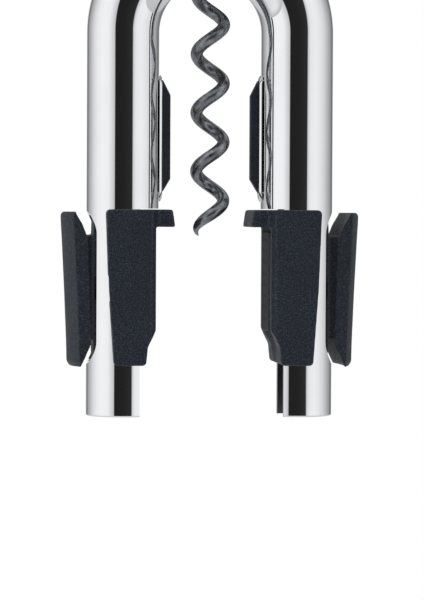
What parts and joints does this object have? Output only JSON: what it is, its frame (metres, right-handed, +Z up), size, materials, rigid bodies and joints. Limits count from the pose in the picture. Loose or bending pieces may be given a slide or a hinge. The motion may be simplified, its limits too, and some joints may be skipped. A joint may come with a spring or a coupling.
{
  "type": "lever corkscrew",
  "caption": "Lever corkscrew: bent tube frame with sprung neck jaws and grips, coated worm, rack and gear head, and a forked lever.",
  "frame": {"origin": "on the axis of the worm and of the bottle neck, level with the lower ends of the two legs", "axes": "+Z up along the worm, +X towards the right leg, +Y towards the back where the lever stands at rest"},
  "size_m": [0.0726, 0.1969, 0.2543],
  "materials": {
    "chrome": "polished",
    "textured_plastic": "fine spark-eroded texture",
    "head_plastic": "fine texture",
    "handle_plastic": "fine texture",
    "rubber": "smooth",
    "nylon": "moulded",
    "steel": "turned",
    "coated_steel": "satin non-stick coating",
    "alloy": "as cast",
    "bronze": "sintered"
  },
  "bodies": {
    "frame": {"frame_tube": "chrome", "pad_bezel_left": "chrome", "pad_bezel_right": "chrome", "cork_pad_left": "rubber", "cork_pad_right": "rubber", "head_shell_left": "head_plastic", "head_shell_right": "head_plastic", "head_screw_1": "steel", "head_screw_2": "steel", "head_screw_3": "steel", "head_screw_4": "steel", "pivot_bush_left": "nylon", "pivot_bush_right": "nylon", "guide_nut": "nylon", "nut_washer": "bronze", "pawl_pin": "steel", "pawl_spring": "steel", "button_spring": "steel", "guide_pin_left": "steel", "guide_pin_right": "steel", "jaw_spring_left": "steel", "jaw_spring_right": "steel"},
    "lever": {"lever_fork": "chrome", "lever_handle": "handle_plastic", "handle_screw": "steel", "drive_gear": "steel", "gear_pin": "steel", "pivot_shaft": "steel", "shaft_cap_left": "chrome", "shaft_cap_right": "chrome"},
    "carriage_unit": {"carriage": "alloy", "rack": "steel", "rack_pin_1": "steel", "rack_pin_2": "steel", "guide_shoe_left": "nylon", "guide_shoe_right": "nylon"},
    "worm_unit": {"worm": "coated_steel", "thrust_washer": "steel", "worm_clip": "steel"},
    "left_clamp": {"jaw_left": "textured_plastic", "neck_liner_left": "rubber", "grip_left": "textured_plastic", "grip_screw_left_1": "steel", "grip_screw_left_2": "steel"},
    "right_clamp": {"jaw_right": "textured_plastic", "neck_liner_right": "rubber", "grip_right": "textured_plastic", "grip_screw_right_1": "steel", "grip_screw_right_2": "steel"},
    "pawl_unit": {"pawl": "steel"},
    "lock_button_unit": {"lock_button": "head_plastic"}
  },
  "joints": [
    {"name": "lever_swing", "type": "hinge", "parent": "frame", "child": "lever", "pos_m": [0, 0.033, 0.135], "axis": [1, 0, 0], "range_deg": [0, 160]},
    {"name": "carriage_slide", "type": "slide", "parent": "frame", "child": "carriage_unit", "axis": [0, 0, -1], "range_m": [0, 0.0503]},
    {"name": "worm_spin", "type": "hinge", "parent": "carriage_unit", "child": "worm_unit", "pos_m": [0, 0, 0.18097], "axis": [0, 0, -1], "range_deg": [0, 1272]},
    {"name": "left_squeeze", "type": "slide", "parent": "frame", "child": "left_clamp", "axis": [1, 0, 0], "range_m": [0, 0.0017], "stiffness_N_per_m": 800, "springref_m": -0.0015, "deforming": ["jaw_spring_left"]},
    {"name": "right_squeeze", "type": "slide", "parent": "frame", "child": "right_clamp", "axis": [-1, 0, 0], "range_m": [0, 0.0017], "stiffness_N_per_m": 800, "springref_m": -0.0015, "deforming": ["jaw_spring_right"]},
    {"name": "pawl_swing", "type": "hinge", "parent": "frame", "child": "pawl_unit", "pos_m": [0.00918, -0.0053, 0.1267], "axis": [0, 0, 1], "range_deg": [0, 10], "stiffness_Nm_per_rad": 0.01, "springref_deg": -8.59, "deforming": ["pawl_spring"]},
    {"name": "button_press", "type": "slide", "parent": "frame", "child": "lock_button_unit", "axis": [0, 1, 0], "range_m": [0, 0.0012], "stiffness_N_per_m": 300, "springref_m": -0.0015, "deforming": ["button_spring"]}
  ],
  "couplings": [
    {"joint": "carriage_slide", "follows": "lever_swing", "m_per_rad": 0.018},
    {"joint": "worm_spin", "follows": "lever_swing", "ratio": 7.9367}
  ]
}
